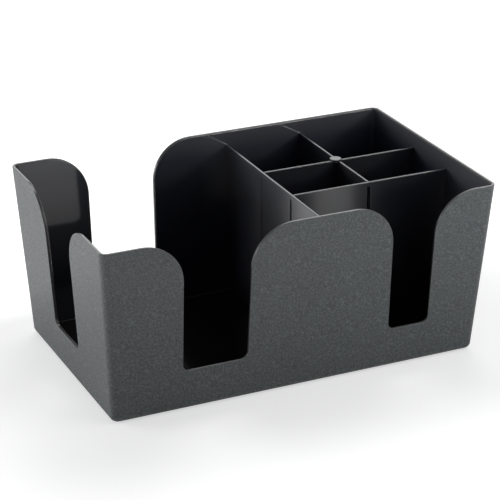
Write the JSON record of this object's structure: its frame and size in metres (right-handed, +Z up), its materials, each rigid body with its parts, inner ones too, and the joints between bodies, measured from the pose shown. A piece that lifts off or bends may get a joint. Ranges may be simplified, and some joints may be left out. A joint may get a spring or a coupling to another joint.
{
  "type": "bar caddy",
  "caption": "Open bar caddy with leaning walls: a napkin bay and a front bay with finger slots, and small cells parted by thin upright divider plates.",
  "frame": {"origin": "middle of the footprint, on the surface that the feet stand on", "axes": "+X along the long front to the right, towards the small cells; +Y to the back; +Z up"},
  "size_m": [0.24, 0.1456, 0.1055],
  "materials": {
    "tub_plastic": "fine spark-eroded texture outside, polished inside",
    "divider_plastic": "polished",
    "foot_rubber": "matt non-slip rubber"
  },
  "bodies": {
    "root": {"tub": "tub_plastic", "long_divider": "divider_plastic", "bay_divider": "divider_plastic", "cell_divider_across": "divider_plastic", "cell_divider_along": "divider_plastic", "crossing_cap": "divider_plastic", "foot_front_left": "foot_rubber", "foot_front_right": "foot_rubber", "foot_rear_left": "foot_rubber", "foot_rear_right": "foot_rubber"}
  },
  "joints": []
}
